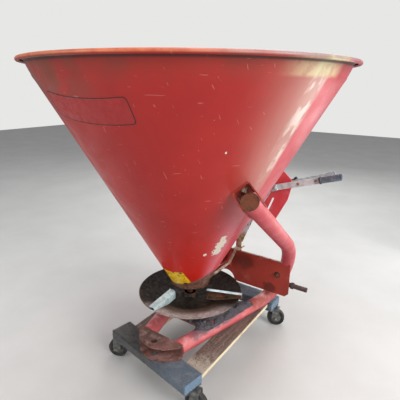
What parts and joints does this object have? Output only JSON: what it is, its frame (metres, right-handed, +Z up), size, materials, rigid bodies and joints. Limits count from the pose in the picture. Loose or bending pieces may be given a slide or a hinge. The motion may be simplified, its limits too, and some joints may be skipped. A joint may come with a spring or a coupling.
{
  "type": "fertilizer spreader",
  "caption": "Mounted fertilizer spreader with a conical red hopper over a spinning disc, bent tube frame with rear clevis, flow lever, parked on a carpeted castor dolly.",
  "frame": {"origin": "on the floor, under the hopper's own axis, which is the centre of the whole object's box", "axes": "+Y points forward to the tractor, +X to the machine's right, +Z up"},
  "size_m": [1.1499, 1.15, 1.238],
  "materials": {
    "red_paint": "worn red enamel, scratched, with bare and chalky places",
    "bright_red_paint": "fresher crimson enamel",
    "rusty_steel": "dark brown rust",
    "zinc": "dull zinc plate",
    "grey_plastic": "moulded grip",
    "black_plastic": "moulded knob",
    "cast_grey": "cast case with dust",
    "carpet": "short dark grey carpet",
    "plywood": "weathered board",
    "black_tyre": "hard rubber tread"
  },
  "bodies": {
    "frame": {"hopper": "red_paint", "hopper_floor": "rusty_steel", "shutter_clips": "rusty_steel", "side_tube_right": "red_paint", "side_tube_left": "red_paint", "saddle_right": "red_paint", "saddle_left": "red_paint", "cross_plate": "red_paint", "gussets": "red_paint", "rear_clevis": "red_paint", "link_pins": "rusty_steel", "mast": "red_paint", "quadrant_plate": "bright_red_paint", "lever_pivot": "zinc", "gearbox": "cast_grey", "gearbox_carrier": "red_paint", "dolly_bar_front": "carpet", "dolly_bar_rear": "carpet", "dolly_plank_left": "plywood", "dolly_plank_right": "plywood", "castor_plate_front_right": "zinc", "castor_plate_front_left": "zinc", "castor_plate_rear_right": "zinc", "castor_plate_rear_left": "zinc"},
    "spinner": {"spinner_disc": "rusty_steel", "spinner_shaft": "rusty_steel", "agitator": "rusty_steel", "vanes": "zinc"},
    "drive": {"drive_shaft": "rusty_steel"},
    "lever": {"flow_lever": "zinc", "lever_grip": "grey_plastic"},
    "shutter": {"shutter": "rusty_steel"},
    "stop": {"rate_stop": "zinc", "stop_knob": "black_plastic"},
    "castor_front_right": {"castor_fork_front_right": "zinc"},
    "wheel_front_right": {"castor_wheel_front_right": "black_tyre"},
    "castor_front_left": {"castor_fork_front_left": "zinc"},
    "wheel_front_left": {"castor_wheel_front_left": "black_tyre"},
    "castor_rear_right": {"castor_fork_rear_right": "zinc"},
    "wheel_rear_right": {"castor_wheel_rear_right": "black_tyre"},
    "castor_rear_left": {"castor_fork_rear_left": "zinc"},
    "wheel_rear_left": {"castor_wheel_rear_left": "black_tyre"}
  },
  "joints": [
    {"name": "spinner_turn", "type": "hinge", "parent": "frame", "child": "spinner", "pos_m": [0, 0, 0.3], "axis": [0, 0, 1], "continuous": true},
    {"name": "drive_turn", "type": "hinge", "parent": "frame", "child": "drive", "pos_m": [0, 0.1, 0.24], "axis": [0, 1, 0], "continuous": true},
    {"name": "lever_swing", "type": "hinge", "parent": "frame", "child": "lever", "pos_m": [0.19, 0.3355, 0.727], "axis": [0, 1, 0], "range_deg": [-9, 0]},
    {"name": "shutter_turn", "type": "hinge", "parent": "frame", "child": "shutter", "pos_m": [0, 0, 0.3615], "axis": [0, 0, 1], "range_deg": [-8.3, 0]},
    {"name": "stop_swing", "type": "hinge", "parent": "frame", "child": "stop", "pos_m": [0.19, 0.3655, 0.727], "axis": [0, 1, 0], "range_deg": [-12, 14]},
    {"name": "swivel_front_right", "type": "hinge", "parent": "frame", "child": "castor_front_right", "pos_m": [0.20597, 0.40155, 0.09], "axis": [0, 0, 1], "continuous": true},
    {"name": "roll_front_right", "type": "hinge", "parent": "castor_front_right", "child": "wheel_front_right", "pos_m": [0.23792, 0.41318, 0.0425], "axis": [-0.342, 0.9397, 0], "continuous": true},
    {"name": "swivel_front_left", "type": "hinge", "parent": "frame", "child": "castor_front_left", "pos_m": [-0.18897, 0.40845, 0.09], "axis": [0, 0, 1], "continuous": true},
    {"name": "roll_front_left", "type": "hinge", "parent": "castor_front_left", "child": "wheel_front_left", "pos_m": [-0.17734, 0.3765, 0.0425], "axis": [0.9397, 0.342, 0], "continuous": true},
    {"name": "swivel_rear_right", "type": "hinge", "parent": "frame", "child": "castor_rear_right", "pos_m": [0.17785, -0.25726, 0.09], "axis": [0, 0, 1], "continuous": true},
    {"name": "roll_rear_right", "type": "hinge", "parent": "castor_rear_right", "child": "wheel_rear_right", "pos_m": [0.21127, -0.251, 0.0425], "axis": [-0.184, 0.9829, 0], "continuous": true},
    {"name": "swivel_rear_left", "type": "hinge", "parent": "frame", "child": "castor_rear_left", "pos_m": [-0.21185, -0.19274, 0.09], "axis": [0, 0, 1], "continuous": true},
    {"name": "roll_rear_left", "type": "hinge", "parent": "castor_rear_left", "child": "wheel_rear_left", "pos_m": [-0.24251, -0.20743, 0.0425], "axis": [0.4321, -0.9018, 0], "continuous": true}
  ],
  "couplings": [
    {"joint": "drive_turn", "follows": "spinner_turn", "ratio": 1},
    {"joint": "shutter_turn", "follows": "lever_swing", "ratio": 0.915}
  ]
}
